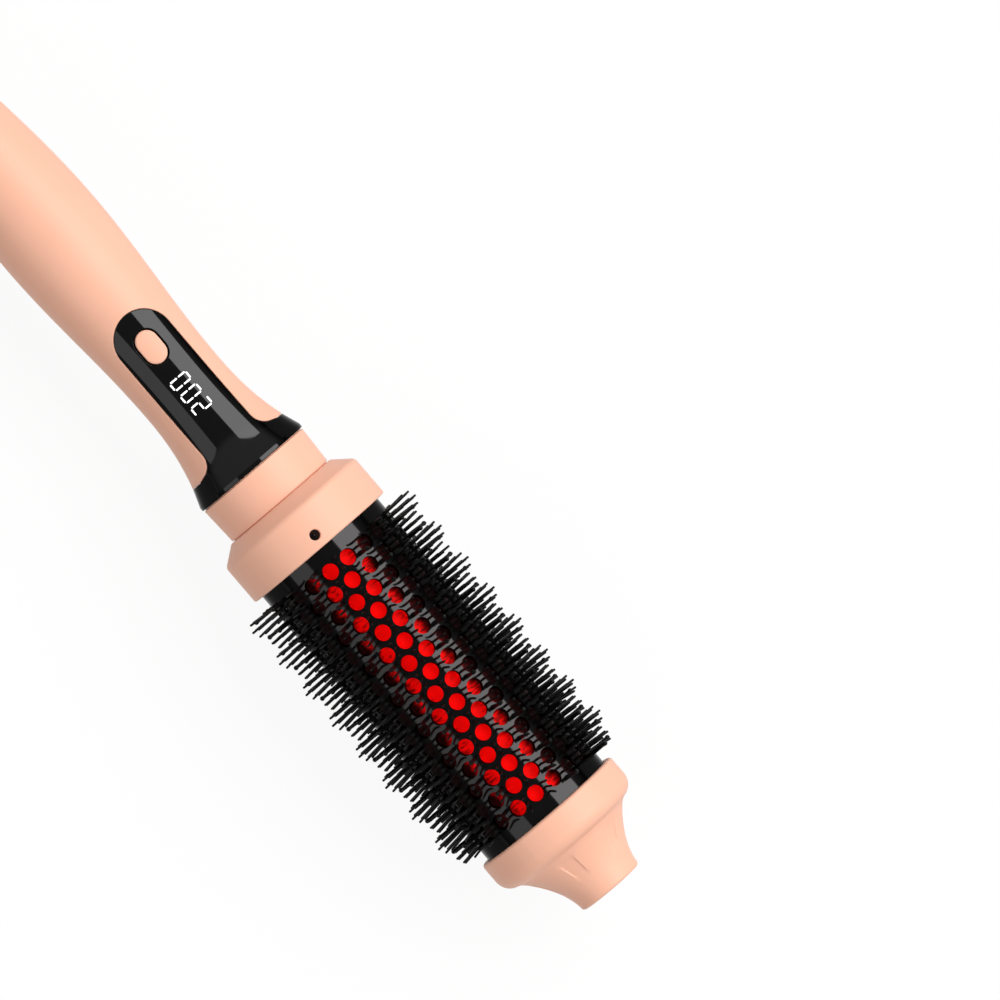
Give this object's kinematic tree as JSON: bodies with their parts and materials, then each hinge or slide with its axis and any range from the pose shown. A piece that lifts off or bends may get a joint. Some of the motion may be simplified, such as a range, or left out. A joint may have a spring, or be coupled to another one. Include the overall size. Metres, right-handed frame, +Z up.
{
  "type": "heated round brush",
  "caption": "Heated round hair brush with a waisted handle, display panel, perforated bristled barrel and cool tip.",
  "frame": {"origin": "under the middle of the brush, on the surface that its bristles lie on", "axes": "+X along the brush from its cord end to its cool tip, +Z up on the side of the display, +Y across"},
  "size_m": [0.3058, 0.0528, 0.0523],
  "materials": {
    "peach_plastic": "soft-touch satin moulding",
    "gloss_black": "polished, smoked black",
    "coated_barrel": "gloss black ceramic coating",
    "red_silicone": "bright red, satin",
    "black_plastic": "moulded, satin",
    "white_plastic": "moulded, satin",
    "circuit_board": "solder mask",
    "aluminium": "extruded",
    "steel": "zinc plated",
    "brass": "bright",
    "ceramic": "sintered, matte",
    "mica": "pressed sheet"
  },
  "bodies": {
    "handle": {"handle_upper_shell": "peach_plastic", "handle_lower_shell": "peach_plastic", "handle_end_ring": "peach_plastic", "handle_screw_rear": "steel", "handle_screw_front": "steel", "slip_ring_wiper_line": "brass", "slip_ring_wiper_neutral": "brass", "control_panel": "gloss_black", "display_board": "circuit_board", "display_module": "black_plastic", "tact_switch": "black_plastic", "main_board": "circuit_board", "filter_capacitor": "black_plastic", "ion_module": "white_plastic", "triac": "black_plastic", "neck_tube": "black_plastic", "neck_ring": "peach_plastic", "collar": "peach_plastic", "ion_holder": "white_plastic", "ion_needle": "steel", "barrel_slice_1": "coated_barrel", "barrel_slice_2": "coated_barrel", "barrel_slice_3": "coated_barrel", "barrel_slice_4": "coated_barrel", "rear_disc": "ceramic", "front_disc": "ceramic", "heater_sleeve": "red_silicone", "heater_shoe_upper": "aluminium", "heater_shoe_lower": "aluminium", "rear_disc_screw_1": "steel", "front_disc_screw_1": "steel", "rear_disc_screw_2": "steel", "front_disc_screw_2": "steel", "heating_stone_1": "ceramic", "heating_stone_2": "ceramic", "heating_stone_3": "ceramic", "electrode_upper": "brass", "insulation_sheet_upper": "mica", "electrode_lower": "brass", "insulation_sheet_lower": "mica", "thermal_fuse": "white_plastic", "temperature_sensor": "ceramic", "cool_tip": "peach_plastic", "supply_wire_line": "brass", "supply_wire_neutral": "brass", "heater_wire_live": "brass", "heater_wire_neutral": "brass", "ion_wire": "white_plastic"},
    "button": {"power_button": "peach_plastic"},
    "switch_plunger": {"tact_plunger": "white_plastic"},
    "swivel": {"cord_swivel": "black_plastic", "slip_ring_line": "brass", "slip_ring_neutral": "brass"}
  },
  "joints": [
    {"name": "button_press", "type": "slide", "parent": "handle", "child": "button", "axis": [0, 0, -1], "range_m": [0, 0.0006], "stiffness_N_per_m": 800},
    {"name": "plunger_press", "type": "slide", "parent": "handle", "child": "switch_plunger", "axis": [0, 0, -1], "range_m": [0, 0.0006]},
    {"name": "cord_swivel_turn", "type": "hinge", "parent": "handle", "child": "swivel", "pos_m": [-0.14485, 0, 0.0259], "axis": [1, 0, 0], "continuous": true}
  ],
  "couplings": [
    {"joint": "plunger_press", "follows": "button_press", "ratio": 1}
  ]
}
